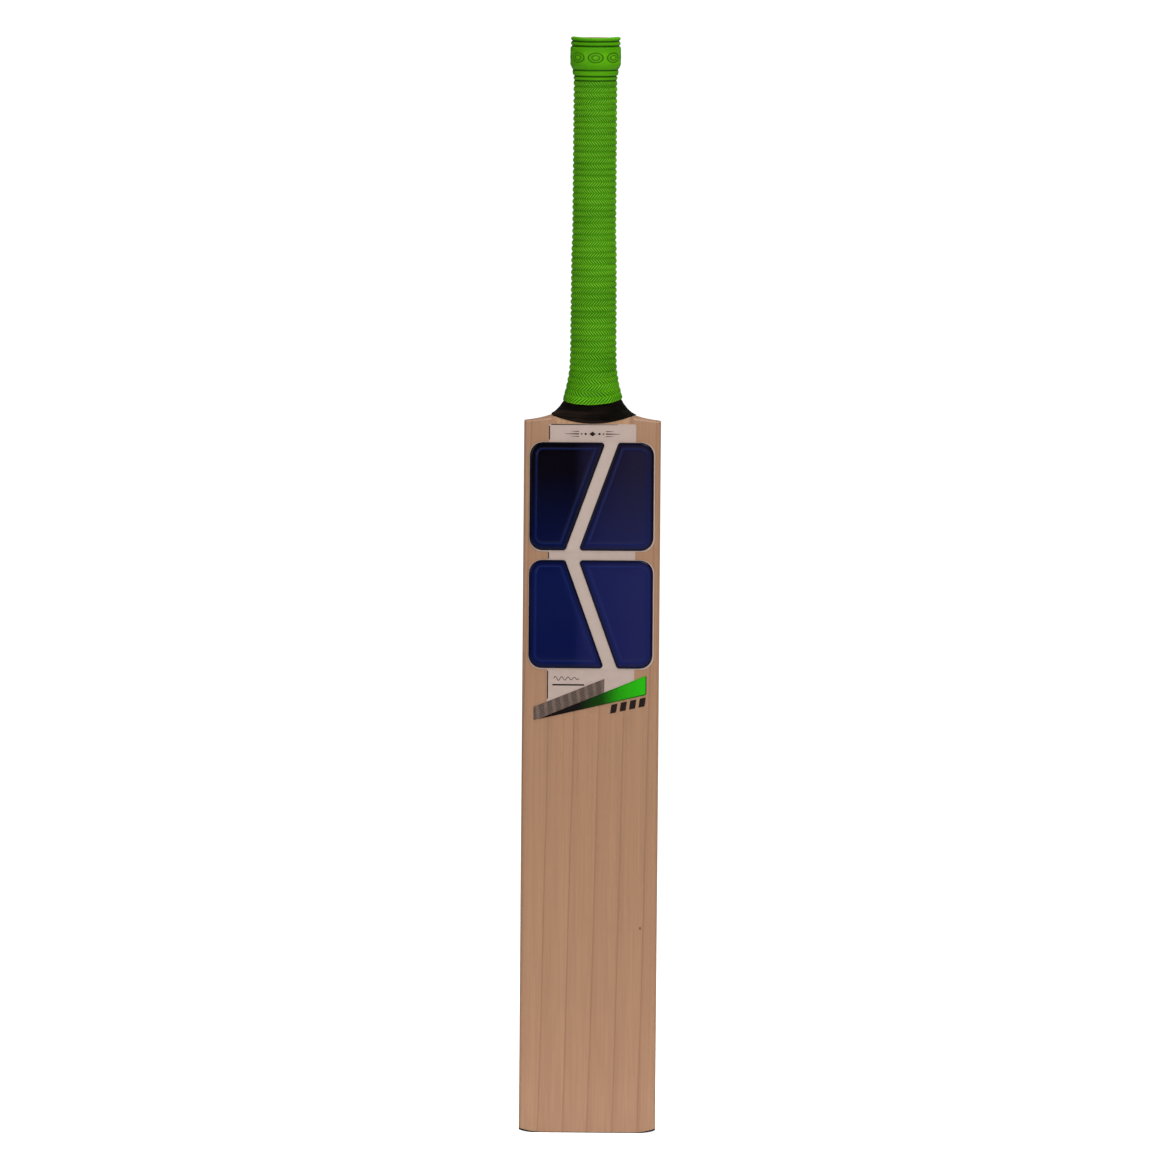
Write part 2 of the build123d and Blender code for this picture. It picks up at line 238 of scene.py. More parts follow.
def srgb(red, green, blue):
    """Screen levels 0 to 255 as a linear colour."""
    return tuple(
        level / 12.92 if level <= 0.04045 else ((level + 0.055) / 1.055) ** 2.4
        for level in (red / 255, green / 255, blue / 255)
    )


GROWTH_LINES = 50.8  # to a metre across the blade
GROWTH_START = 8.787  # where in the pattern the blade's middle falls, in line spacings
GROWTH_LEAN = -0.020  # sideways run of the lines for each metre up
BLADE_SHARE = 1.75  # blade lengths in a metre
SPECK = (0.0405, -0.009, 0.1612)  # where the small dark speck lies on the face


def willow():
    """Pale pressed willow: straight growth lines up the blade, silky fibre, short flecks, one small speck;
    paler towards the toe, with a painted highlight along the shoulders' top edge and painted shade deepening
    towards the top.
    """
    look = Look("willow", Roughness=0.5, IOR=1.45)
    x, _, z = look.split()
    drift = look.noise(look.stretched(1.2, 1.2, 0.5), 3.2, 2.0)
    wander = look.noise(look.stretched(9.0, 9.0, 2.2), 2.0, 3.0)
    place = look.math("MULTIPLY_ADD", z, GROWTH_LEAN, x)
    place = look.math("MULTIPLY_ADD", drift, 0.006, place)
    place = look.math("MULTIPLY_ADD", wander, 0.0022, place)
    ring = look.math("FRACT", look.math("MULTIPLY_ADD", place, GROWTH_LINES, GROWTH_START))
    line = look.ramp(
        ring,
        (0.0, 0.9),
        (0.028, 0.42),
        (0.06, 0.22),
        (0.3, 0.1),
        (0.6, 0.0),
        (0.955, 0.03),
        (0.985, 0.6),
        (1.0, 0.9),
    )
    fibre = look.noise(look.stretched(520, 520, 7.5), 1.0, 7.0, 0.62)
    broad = look.noise(look.stretched(70, 70, 2.4), 1.0, 4.0)
    patches = look.noise(look.stretched(11, 11, 4), 1.0, 3.0)
    flecks = look.noise(look.stretched(1700, 1700, 95), 1.0, 2.0)
    flecks = look.ramp(flecks, (0.0, 0.0), (0.655, 0.0), (0.74, 1.0))
    colour = look.mixed(patches, srgb(184, 137, 102), srgb(191, 147, 113))
    up = look.math("MULTIPLY", z, BLADE_SHARE)
    # paler towards the toe, and a painted highlight along the top edge of the shoulders
    ends = look.ramp(up, (0.0, 0.5), (0.12, 0.22), (0.4, 0.0), (0.75, 0.08), (0.96, 0.1), (1.0, 0.6))
    colour = look.mixed(ends, colour, srgb(196, 156, 128))
    colour = look.mixed(look.ramp(broad, (0.3, 0.0), (0.7, 0.2)), colour, srgb(163, 119, 90))
    colour = look.mixed(look.ramp(fibre, (0.36, 0.26), (0.6, 0.0)), colour, srgb(152, 112, 86))
    colour = look.mixed(look.math("MULTIPLY", line, 0.52), colour, srgb(136, 92, 68))
    colour = look.mixed(look.math("MULTIPLY", flecks, 0.16), colour, srgb(120, 82, 62))
    # painted shade: the wood is multiplied darker towards the top of the blade
    painted_shade = look.ramp(up, (0.0, 1.0), (0.05, 1.0), (0.18, 0.92), (0.46, 0.84), (0.96, 0.77), (1.0, 0.77))
    colour = look.mixed(1.0, colour, painted_shade, "MULTIPLY")
    spot = look.add("VectorMath", look.place, SPECK, operation="SUBTRACT").outputs[0]
    spot = look.add("Mapping", spot, None, None, (1.0, 0.25, 0.7)).outputs[0]
    away = look.add("VectorMath", spot, operation="LENGTH").outputs[1]
    speck = look.ramp(look.math("MULTIPLY", away, 1 / MM), (0.0, 1.0), (0.85, 0.75), (1.0, 0.0))
    colour = look.mixed(speck, colour, srgb(104, 70, 48))
    look.feed("Base Color", colour)
    look.feed("Roughness", look.ramp(fibre, (0.3, 0.58), (0.7, 0.44)))
    look.bump(look.math("MULTIPLY_ADD", line, -0.5, fibre), 0.00012, 0.5)
    return look.material


def cane(name, seed, warmth):
    """Split cane: pores and dark fibre bundles running up the handle, dots on the cut end."""
    look = Look(name, Roughness=0.45)
    moved = look.add("VectorMath", look.place, (seed * 0.37, seed * 0.11, 0.0), operation="ADD").outputs[0]
    along = look.add("Mapping", moved, None, None, (1100, 1100, 4)).outputs[0]
    bundles = look.add("TexVoronoi", along)
    bundles.inputs["Scale"].default_value = 1.0
    bundles.inputs["Randomness"].default_value = 0.9
    dots = look.ramp(bundles.outputs["Distance"], (0.0, 1.0), (0.28, 0.75), (0.5, 0.0))
    streak = look.noise(look.add("Mapping", moved, None, None, (260, 260, 3)).outputs[0], 1.0, 5.0)
    light = tuple(channel * warmth for channel in srgb(196, 156, 118))
    colour = look.mixed(streak, light, srgb(170, 126, 92))
    colour = look.mixed(look.math("MULTIPLY", dots, 0.42), colour, srgb(92, 60, 38))
    look.feed("Base Color", colour)
    look.bump(look.math("MULTIPLY", dots, -1.0), 0.0001, 0.5)
    return look.material


def plain_rubber(name, dark, light, roughness, grain):
    """Sheet or moulded rubber: fine pebbled skin, faint cloudy bloom."""
    look = Look(name, Roughness=roughness, IOR=1.45)
    bloom = look.noise(look.stretched(45, 45, 30), 1.0, 4.0)
    skin = look.noise(look.stretched(grain, grain, grain), 1.0, 3.0)
    look.feed("Base Color", look.mixed(look.ramp(bloom, (0.3, 0.0), (0.75, 1.0)), dark, light))
    look.feed("Roughness", look.ramp(skin, (0.3, roughness + 0.1), (0.7, roughness - 0.08)))
    look.bump(skin, 0.00008, 0.5)
    return look.material


def grip_rubber():
    """Green moulded rubber: a painted highlight on the crests and painted shade in the grooves."""
    look = Look("grip_rubber", Roughness=0.42, IOR=1.45, Specular_IOR_Level=0.07)
    bloom = look.noise(look.stretched(16, 16, 130), 1.0, 4.0)
    skin = look.noise(look.stretched(2400, 2400, 2400), 1.0, 3.0)
    dust = look.noise(look.stretched(300, 300, 300), 1.0, 5.0)
    deep = look.add("Attribute", attribute_name="relief").outputs["Fac"]
    colour = look.mixed(look.ramp(bloom, (0.3, 0.0), (0.75, 1.0)), srgb(76, 156, 4), srgb(106, 190, 20))
    colour = look.mixed(look.ramp(dust, (0.55, 0.0), (0.8, 0.2)), colour, srgb(128, 182, 66))
    # painted highlight on the crests of the ribs
    colour = look.mixed(look.ramp(deep, (0.0, 0.85), (0.3, 0.0)), colour, srgb(140, 208, 62))
    # painted shade in the grooves and on faces that lie deep or inside
    colour = look.mixed(look.ramp(deep, (0.2, 0.0), (0.8, 0.9), (1.0, 0.96)), colour, srgb(20, 72, 0))
    look.feed("Base Color", colour)
    look.feed("Roughness", look.ramp(skin, (0.3, 0.52), (0.7, 0.38)))
    look.bump(skin, 0.00006, 0.4)
    return look.material


def tape_cloth():
    """Black cotton tape with a proofed, slightly shiny face, a fine square weave and painted brown sheen
    streaks.
    """
    look = Look("tape", Roughness=0.5, IOR=1.4, Specular_IOR_Level=0.04)
    x, y, z = look.split()
    angle = look.math("ARCTAN2", look.math("SUBTRACT", y, 0.004), x)
    warp = look.math("SINE", look.math("MULTIPLY", angle, 210.0))
    weft = look.math("SINE", look.math("MULTIPLY", z, 9500.0))
    weave = look.math("MULTIPLY", warp, weft)
    cloudy = look.noise(look.stretched(60, 60, 160), 1.0, 4.0)
    colour = look.mixed(look.ramp(cloudy, (0.35, 0.0), (0.75, 1.0)), srgb(6, 5, 3), srgb(20, 15, 11))
    streak = look.noise(look.stretched(22, 22, 260), 1.0, 3.0)
    # painted sheen: faint brown streaks across the black
    colour = look.mixed(look.ramp(streak, (0.54, 0.0), (0.74, 0.6)), colour, srgb(46, 33, 27))
    look.feed("Base Color", colour)
    look.feed("Roughness", look.ramp(cloudy, (0.3, 0.62), (0.7, 0.4)))
    look.bump(look.math("ADD", look.math("MULTIPLY", weave, 0.3), cloudy), 0.00009, 0.5)
    return look.material


TWINE_PITCH = 0.9 * MM


def twine_winding():
    """Waxed linen twine: close turns round the handle, each with its own twist."""
    look = Look("twine", Roughness=0.7)
    _, _, z = look.split()
    turns = look.math("SINE", look.math("MULTIPLY", z, 2 * math.pi / TWINE_PITCH))
    twist = look.noise(look.stretched(900, 900, 3200), 1.0, 3.0)
    colour = look.mixed(twist, srgb(196, 172, 132), srgb(132, 104, 70))
    colour = look.mixed(look.ramp(turns, (0.0, 0.6), (0.35, 0.0)), colour, srgb(74, 54, 34))
    look.feed("Base Color", colour)
    look.bump(look.math("ADD", turns, twist), 0.0002, 0.7)
    return look.material


def printed_film(name, colour, mottle, roughness=0.38):
    """Printed plastic film: faint mottle and a soft, slightly uneven shine."""
    look = Look(name, Roughness=roughness, IOR=1.45, Specular_IOR_Level=0.2)
    cloudy = look.noise(look.stretched(120, 120, 120), 1.0, 5.0)
    fine = look.noise(look.stretched(1500, 1500, 1500), 1.0, 2.0)
    tint = tuple(channel * mottle for channel in colour)
    look.feed("Base Color", look.mixed(look.ramp(cloudy, (0.35, 0.0), (0.75, 1.0)), colour, tint))
    look.feed("Roughness", look.ramp(fine, (0.3, roughness + 0.06), (0.7, roughness - 0.05)))
    look.bump(cloudy, 0.00006, 0.3)
    return look.material


RESIN_FOOT = 0.36  # height at which the print's run of colours starts
RESIN_RUN = 5.4  # runs in a metre


def resin():
    """Clear domed resin over a print that runs from near black at the top to blue below, with a painted
    reflection brightening the right side, painted shade round each panel's rim and a painted highlight line
    inside it.
    """
    look = Look("emblem_resin", Roughness=0.12, IOR=1.5, Specular_IOR_Level=0.1)
    x, _, z = look.split()
    share = look.math("MULTIPLY", look.math("SUBTRACT", z, RESIN_FOOT), RESIN_RUN)
    colour = look.ramp(
        share,
        (0.0, (0.0022, 0.0055, 0.055)),
        (0.42, (0.0026, 0.0065, 0.058)),
        (0.56, (0.002, 0.0042, 0.036)),
        (0.72, (0.0016, 0.0024, 0.018)),
        (0.86, (0.0018, 0.001, 0.004)),
        (1.0, (0.0016, 0.0009, 0.0025)),
    )
    flow = look.noise(look.stretched(26, 26, 18), 1.0, 2.0)
    glint = look.noise(look.stretched(2600, 2600, 2600), 1.0, 1.0)
    colour = look.mixed(look.ramp(glint, (0.66, 0.0), (0.76, 0.35)), colour, (0.006, 0.012, 0.09))
    # painted reflection: a soft bluish haze that grows towards the right
    bloom = look.ramp(look.math("MULTIPLY_ADD", x, 30.0, 0.62), (0.2, 0.0), (0.45, 0.75), (1.0, 1.0))
    colour = look.mixed(bloom, colour, (0.0075, 0.0065, 0.024), "ADD")
    inset = look.add("Attribute", attribute_name="relief").outputs["Fac"]
    # painted shade round each panel's rim
    colour = look.mixed(look.ramp(inset, (0.5, 0.0), (0.8, 0.75)), colour, (0.0009, 0.0007, 0.003))
    # painted highlight: a bright blue line along the bevel inside the rim
    colour = look.mixed(look.ramp(inset, (0.3, 0.0), (0.42, 0.4), (0.55, 0.0)), colour, (0.006, 0.022, 0.15))
    look.feed("Base Color", colour)
    look.feed("Roughness", look.ramp(flow, (0.3, 0.09), (0.7, 0.17)))
    look.bump(flow, 0.0004, 0.35)
    return look.material


def band_print():
    """Grey film printed with leaning dark blocks and fine hatching."""
    look = Look("band_film", Roughness=0.4, Specular_IOR_Level=0.15)
    x, _, z = look.split()
    along = look.math("MULTIPLY_ADD", z, 0.42, x)
    across = look.math("MULTIPLY_ADD", x, -0.4, z)
    blocks = look.math("FRACT", look.math("MULTIPLY", look.math("MULTIPLY_ADD", z, -0.3, along), 150.0))
    blocks = look.ramp(blocks, (0.0, 1.0), (0.52, 1.0), (0.6, 0.0), (0.92, 0.0), (1.0, 1.0))
    hatch = look.math("SINE", look.math("MULTIPLY", across, 5200.0))
    cloud = look.noise(look.stretched(380, 380, 380), 1.0, 4.0)
    colour = look.mixed(cloud, srgb(70, 54, 46), srgb(128, 108, 98))
    colour = look.mixed(look.math("MULTIPLY", blocks, 0.55), colour, srgb(40, 34, 32))
    colour = look.mixed(look.ramp(hatch, (0.2, 0.0), (1.0, 0.3)), colour, srgb(164, 146, 136))
    look.feed("Base Color", colour)
    look.bump(cloud, 0.00004, 0.3)
    return look.material


def wedge_print():
    """Glossy film that runs from black at the tip to bright green at the broad end."""
    look = Look("wedge_film", Roughness=0.3, Specular_IOR_Level=0.1)
    x, _, _ = look.split()
    share = look.math("MULTIPLY_ADD", x, 11.5, 0.47)
    grain = look.noise(look.stretched(700, 700, 700), 1.0, 3.0)
    share = look.math("ADD", share, look.math("MULTIPLY_ADD", grain, 0.08, -0.04))
    colour = look.ramp(
        share,
        (0.0, srgb(14, 9, 8)),
        (0.36, srgb(14, 12, 8)),
        (0.58, srgb(14, 62, 4)),
        (0.74, srgb(34, 150, 8)),
        (1.0, srgb(40, 188, 14)),
    )
    look.feed("Base Color", colour)
    look.bump(grain, 0.00003, 0.2)
    return look.material


WILLOW = willow()
GRIP = grip_rubber()
TAPE = tape_cloth()
TWINE = twine_winding()
RESIN = resin()
STRIP_FILM = printed_film("strip_film", srgb(188, 168, 158), 0.92)
EMBLEM_FILM = printed_film("emblem_film", srgb(190, 172, 162), 0.94, 0.3)
INK = printed_film("ink", srgb(26, 15, 12), 0.8, 0.5)
BAND_FILM = band_print()
WEDGE_FILM = wedge_print()
SPRING = plain_rubber("spring_rubber", srgb(70, 40, 30), srgb(96, 58, 42), 0.7, 1800)
TOE = plain_rubber("toe_rubber", srgb(24, 20, 18), srgb(40, 34, 31), 0.6, 2200)


def dress(name, material):
    """Gives a CAD node that stays in view its material."""
    shown = nodes[name]
    shown.data.materials.clear()
    shown.data.materials.append(material)


def dress_handle():
    """The cheeks, canes and springs; no two canes side by side are the same."""
    for seed, side in ((20, "left"), (21, "right")):
        dress(f"cheek_{side}", cane(f"cane_cheek_{side}", seed, 0.96))
    for slip in (1, 2, 3, 4):
        for number, column in enumerate(("left", "middle", "right")):
            seed = slip * 3 + number
            warmth = 0.86 + 0.05 * (seed * 7 % 5)
            dress(f"cane_{slip}_{column}", cane(f"cane_{seed}", seed, warmth))
    for row in ("front", "middle", "back"):
        dress(f"spring_{row}", SPRING)


def dress_films():
    """The flat printed films on the face."""
    dress("face_strip", STRIP_FILM)
    dress("flash_band", BAND_FILM)
    dress("flash_wedge", WEDGE_FILM)
    for number in (1, 2, 3, 4):
        dress(f"flash_tally_{number}", INK)
    for level in ("upper", "lower"):
        dress(f"emblem_{level}_backing", EMBLEM_FILM)


dress("blade", WILLOW)
dress("toe_guard", TOE)
dress("twine_binding", TWINE)
dress_handle()
dress_films()

# ---- grip: rope-like rings below, a plain banded collar above ----

SLASHES = 50
COLUMNS = 4 * SLASHES
RINGS = 54
RIB_FOOT = 21.2 * MM
RIB_HEAD = 272.0 * MM
SMILE = 3.3 * MM  # how much lower the grip's edge runs at the front and back
SMILE_FADE = 24 * MM
TILT = 0.95 * MM  # how much higher the edge runs on the right
TWIST = 4.2 * MM  # sideways run of a slash across its ring
VALLEY = 1.2  # depth between two rings, in mm
RING_ROWS = (  # share of the pitch and of the valley's depth
    (0.0, 1.0),
    (0.12, 0.52),
    (0.34, 0.06),
    (0.66, 0.06),
    (0.88, 0.52),
)
SLASH_DEPTH = 0.7  # in mm
SLASH_ROWS = (0.0, 0.45, 1.0, 0.45)  # crest, flank, groove, flank
THINNEST = 0.35 * MM  # the grip's edge over the tape
TWIST_RADIUS = 17.4 * MM  # where the sideways run of a slash is measured
FLARE = 25 * MM  # how far up the tape lies under the grip
FOOT_FADE = 9 * MM  # height over which the ribs grow from almost flat at the foot
FLARE_FADE = 30 * MM  # and the longer height over which they grow the rest
PLAIN_INSIDE = ((RINGS, 1.6), (RINGS / 2, 1.75), (RINGS / 8, 1.75), (3, 1.1), (0, 0.75))  # rings up, mm in

CREST_FOOT = 14 * MM  # where the search for the CAD's crests starts
CREST_STEP = 1.0 * MM
CREST_TURNS = 48

grip_surface = surface_of("rubber_grip")
under_grip = surface_of("twine_binding", "shoulder_tape")


def crest_radius():
    """The CAD grip's radius over its ribs, as a function of angle and height."""
    count = int((RIB_HEAD - CREST_FOOT) / CREST_STEP) + 1
    lines = []
    for turn in range(CREST_TURNS):
        angle = 2 * math.pi * turn / CREST_TURNS
        line = [radius_at(grip_surface, angle, CREST_FOOT + CREST_STEP * i) for i in range(count)]
        known = [r for r in line if r is not None]
        line = [r if r is not None else known[0] for r in line]
        top = [max(line[max(0, i - 2):i + 3]) for i in range(count)]
        near = [top[max(0, i - 3):i + 4] for i in range(count)]
        lines.append([sum(values) / len(values) for values in near])

    def look_up(angle, height):
        """The radius at a place, smoothed between the lines that were measured."""
        turn = angle / (2 * math.pi) * CREST_TURNS
        first = math.floor(turn)
        share = turn - first
        place = min(max((height - CREST_FOOT) / CREST_STEP, 0), count - 1.001)
        index = int(place)
        rest = place - index
        values = []
        for line in (lines[first % CREST_TURNS], lines[(first + 1) % CREST_TURNS]):
            values.append(line[index] * (1 - rest) + line[index + 1] * rest)
        return values[0] * (1 - share) + values[1] * share

    return look_up


grip_crest = crest_radius()


def edge_height(angle, up=0.0):
    """Height of the grip's lower edge at an angle, and of the rings that follow it more and more loosely."""
    dip = SMILE * math.sin(angle) ** 2 - TILT * math.cos(angle)
    return RIB_FOOT + up - dip * math.exp(-up / SMILE_FADE)


def build_ribs():
    """The sleeve of twisted-rope rings, closed by a plain inside."""
    pitch = (RIB_HEAD - RIB_FOOT) / RINGS
    rows = [(ring + share, ring, share, valley) for ring in range(RINGS) for share, valley in RING_ROWS]
    rows.append((RINGS, RINGS - 1, 1.0, 1.0))
    points, relief = [], []
    for up, ring, share, valley in rows:
        run = share if ring % 2 == 0 else 1 - share
        above = up * pitch
        bold = 1 - 0.72 * math.exp(-above / FOOT_FADE) - 0.2 * math.exp(-above / FLARE_FADE)
        shade = 0.14 * math.exp(-above / FLARE)
        for column in range(COLUMNS):
            angle = 2 * math.pi * column / COLUMNS + run * TWIST / TWIST_RADIUS
            height = edge_height(angle, above)
            groove = SLASH_ROWS[column % 4] * (1 - 0.85 * valley)
            uneven = 0.1 * noise.noise(Vector((math.cos(angle), math.sin(angle), up * 0.8)) * 2.2)
            depth = VALLEY * valley * bold + SLASH_DEPTH * groove * min(1, bold + 0.25) - uneven
            radius = grip_crest(angle, height) - depth * MM
            if above < FLARE:
                radius = max(radius, radius_at(under_grip, angle, height) + THINNEST)
            points.append(on_handle(angle, radius, height))
            # painted shade, read by the grip's material: deepest in the valleys and slash grooves, with a
            # little more near the foot
            relief.append(min(1.0, 0.42 * valley * bold + 0.95 * groove + shade))
    for up, inset in PLAIN_INSIDE:
        for column in range(COLUMNS):
            angle = 2 * math.pi * column / COLUMNS
            height = edge_height(angle, up * pitch)
            points.append(on_handle(angle, grip_crest(angle, height) - inset * MM, height))
            # the plain inside gets full painted shade
            relief.append(1.0)
    faces = tube_faces(len(rows) + len(PLAIN_INSIDE), COLUMNS)
    piece("grip_ribs", points, faces, GRIP, ["rubber_grip"], relief=relief)


build_ribs()

COLLAR_COLUMNS = 320
COLLAR_STEP = 0.28 * MM
COLLAR_FOOT = 271.6
LIP = 305.3
LIP_TOP = 306.3
LIP_DIP = 1.3  # the lip is cut lower at the back
LIP_WEAR = 0.22  # and pulled down a little at the front
COLLAR_LINE = (
    (COLLAR_FOOT, 17.1),
    (273.7, 17.25),
    (277.6, 18.0),
    (281.0, 18.3),
    (284.4, 19.9),
    (290.0, 20.05),
    (296.4, 19.9),
    (301.2, 19.4),
    (LIP, 19.5),
)  # height and radius over the crests, in mm
COLLAR_GROOVES = (
    (272.1, 0.8, 0.6),
    (275.4, 1.1, 0.65),
    (280.3, 0.6, 0.6),
    (299.2, 1.2, 0.7),
    (303.1, 1.1, 0.7),
)  # height, depth and half-width, in mm
COLLAR_SMOOTH = 0.3  # in mm, between the five places whose radii are averaged
OVALS = 8
COLLAR_SHADE = 0.32  # the collar is a little darker than the crests of the ribs
OVAL_MIDDLE = 290.3
OVAL_HALF = (5.9, 3.7)
OVAL_DEPTH = 0.32
CUT_FROM = 300  # height from which the collar bends to its cut top
BORE = 15.3 * MM
LIP_ROUND = 1.2  # rise of the rounded lip over the collar, in mm
LIP_TURNS = 9


def oval_lines(angle, height, radius):
    """Two plain nested ovals, repeated round the collar: 1 on their lines and 0 off them."""
    span = 2 * math.pi / OVALS
    local = (angle + span / 2) % span - span / 2
    across = local * radius / OVAL_HALF[0]
    up = (height - OVAL_MIDDLE) / OVAL_HALF[1]
    outer = math.exp(-(((math.hypot(across, up) - 1.0) / 0.11) ** 2))
    inner = math.exp(-(((math.hypot(across, up) - 0.52) / 0.13) ** 2))
    return max(outer, 0.8 * inner)


def lip_height(angle):
    """Height of the cut top of the grip: full at the sides, lower at the front and back."""
    across = math.sin(angle)
    return LIP_TOP - LIP_DIP * max(0.0, across) ** 1.5 - LIP_WEAR * max(0.0, -across) ** 2


def cut_back(angle, height):
    """How far a place near the top moves up or down, in mm, to follow the cut."""
    return (lip_height(angle) - HANDLE_TOP) * max(0.0, (height - CUT_FROM) / (LIP - CUT_FROM))


def build_collar():
    """The banded collar: its outside, a rounded lip, and a bore round the handle's end."""
    count = int((LIP - COLLAR_FOOT) * MM / COLLAR_STEP)
    points, relief = [], []
    heights = [COLLAR_FOOT + (LIP - COLLAR_FOOT) * i / count for i in range(count + 1)]
    for height in heights:
        line = sum(stepped(COLLAR_LINE, height + COLLAR_SMOOTH * i) for i in (-2, -1, 0, 1, 2)) / 5
        cuts = [(depth, math.exp(-(((height - at) / half) ** 2))) for at, depth, half in COLLAR_GROOVES]
        groove = max(share for _, share in cuts)
        line -= sum(depth * share for depth, share in cuts)
        for column in range(COLLAR_COLUMNS):
            angle = 2 * math.pi * column / COLLAR_COLUMNS
            wave = 0.07 * noise.noise(Vector((math.cos(angle), math.sin(angle), height * 0.12)) * 1.8)
            engraved = oval_lines(angle, height, line)
            radius = line + wave - OVAL_DEPTH * engraved
            points.append(on_handle(angle, radius * MM, (height + cut_back(angle, height)) * MM))
            # painted shade in the grooves and the engraved ovals, over the collar's base value
            relief.append(min(1.0, COLLAR_SHADE + 0.6 * groove + 0.5 * engraved))
    rows = count + 1
    rim = points[-1]
    outer = (rim - NECK - UP * (rim - NECK).dot(UP)).length
    lip = []
    for turn in range(1, LIP_TURNS + 1):
        swing = math.pi * turn / LIP_TURNS
        lip.append(((outer + BORE) / 2 + (outer - BORE) / 2 * math.cos(swing), LIP_ROUND * math.sin(swing)))
    lip += [(BORE, -5.0), (BORE, COLLAR_FOOT + 2 - LIP), (BORE + 0.4 * MM, COLLAR_FOOT - LIP)]
    for radius, above in lip:
        rows += 1
        for column in range(COLLAR_COLUMNS):
            angle = 2 * math.pi * column / COLLAR_COLUMNS
            height = LIP + above
            points.append(on_handle(angle, radius, (height + cut_back(angle, height)) * MM))
            # the bore gets full painted shade
            relief.append(COLLAR_SHADE if above > 0 else 1.0)
    faces = tube_faces(rows, COLLAR_COLUMNS)
    piece("grip_collar", points, faces, GRIP, ["rubber_grip"], relief=relief)


build_collar()

# ---- shoulder tape: three turns, pulled tight over the flare ----

TAPE_COLUMNS = 240
TAPE_ROWS = 46
TAPE_HEAD = 32.0 * MM
TAPE_TURNS = 3.1
TURN_EDGE = 0.22  # share of a turn over which its edge steps down
TAPE_STEP = 0.22  # height of that edge, in mm
TAPE_PULL = 0.16  # slow waves and creases, in mm
TAPE_THICK = 0.7 * MM


def tape_foot(tree, angle):
    """The lowest height at which the CAD tape covers the neck at an angle."""
    below, above = 0.0, 16 * MM
    for _ in range(18):
        half = (below + above) / 2
        if radius_at(tree, angle, half) is None:
            below = half
        else:
            above = half
    return above + 0.05 * MM


def build_tape():
    """The wound tape: overlapping turns with creases, flat at its foot and under the grip."""
    tree = surface_of("shoulder_tape")
    outer, inner = [], []
    feet = [tape_foot(tree, 2 * math.pi * c / TAPE_COLUMNS) for c in range(TAPE_COLUMNS)]
    for row in range(TAPE_ROWS):
        share = row / (TAPE_ROWS - 1)
        for column in range(TAPE_COLUMNS):
            angle = 2 * math.pi * column / TAPE_COLUMNS
            height = feet[column] + (TAPE_HEAD - feet[column]) * share ** 1.15
            radius = radius_at(tree, angle, height)
            around = Vector((math.cos(angle), math.sin(angle), 0))
            turns = (share * TAPE_TURNS + angle / (2 * math.pi) * 0.5) % 1.0
            step = TAPE_STEP * max(0.0, 1 - turns / TURN_EDGE) if share > 0.04 else 0.0
            pull = noise.noise(around * 3.0 + Vector((0, 0, share * 14)))
            crease = abs(noise.noise(around * 5.5 + Vector((3, 0, share * 22)))) ** 0.6
            lift = step + TAPE_PULL * pull + TAPE_PULL * (0.6 - crease)
            covered = max(0.0, min(1.0, (edge_height(angle) - height) / (1.5 * MM)))
            edge = min(1.0, share / 0.05) * covered
            outer.append(on_handle(angle, radius + (lift * edge - 0.1 * (1 - edge)) * MM, height))
            inner.append(on_handle(angle, radius - TAPE_THICK, height))
    points = outer
    for row in reversed(range(TAPE_ROWS)):
        points += inner[row * TAPE_COLUMNS:(row + 1) * TAPE_COLUMNS]
    faces = tube_faces(2 * TAPE_ROWS, TAPE_COLUMNS)
    piece("shoulder_tape_wrap", points, faces, TAPE, ["shoulder_tape"])


build_tape()

# ---- domed emblem panels ----

DOME_HEIGHTS = (
    (0.0, 0.0),
    (0.06, 0.45),
    (0.25, 0.85),
    (0.6, 1.15),
    (1.1, 1.36),
    (1.8, 1.48),
    (2.8, 1.55),
    (4.2, 1.58),
    (4.7, 1.55),
    (5.1, 1.4),
    (5.5, 1.4),
    (5.9, 1.56),
    (6.6, 1.64),
    (8.0, 1.66),
    (10.5, 1.68),
    (13.0, 1.69),
)  # distance in from the edge and height, in mm
DOME_SHADE = (
    (0.0, 1.0),
    (1.1, 0.85),
    (1.8, 0.66),
    (2.8, 0.58),
    (4.7, 0.5),
    (5.5, 0.42),
    (6.6, 0.2),
    (8.0, 0.0),
)  # distance in from the edge, in mm, and how deep the resin looks there: painted shade towards the rim, and a painted highlight line where the value is near 0.42
DOME_TOP = 1.7 * MM
DOME_SUNK = 0.05 * MM  # how far its foot goes into the film
PER_CORNER = 8  # points round a corner
PER_EDGE = 14  # points between two corners


def convex_ring(corners, radii, inset):
    """Points round a convex polygon with rounded corners, moved in by inset. Corners run anticlockwise."""
    count = len(corners)
    lines = []
    for index in range(count):
        start, end = corners[index], corners[(index + 1) % count]
        run = (end - start).normalized()
        inward = Vector((-run.y, run.x))
        lines.append((start + inward * inset, run, inward))
    arcs = []
    for index in range(count):
        before, run_before, in_before = lines[index - 1]
        here, run_here, _ = lines[index]
        cross = run_before.x * run_here.y - run_before.y * run_here.x
        gap = here - before
        along = (gap.x * run_here.y - gap.y * run_here.x) / cross
        corner = before + run_before * along
        radius = max(radii[index] - inset, 0.3 * MM)
        turn = math.atan2(cross, run_before.dot(run_here))
        back_off = radius * math.tan(turn / 2)
        centre = corner - run_before * back_off + in_before * radius
        start_angle = math.atan2(-in_before.y, -in_before.x)
        angles = [start_angle + turn * i / (PER_CORNER - 1) for i in range(PER_CORNER)]
        arcs.append([centre + Vector((math.cos(angle), math.sin(angle))) * radius for angle in angles])
    ring = []
    for index in range(count):
        ring += arcs[index]
        start, end = arcs[index][-1], arcs[(index + 1) % count][0]
        ring += [start.lerp(end, (i + 1) / (PER_EDGE + 1)) for i in range(PER_EDGE)]
    return ring


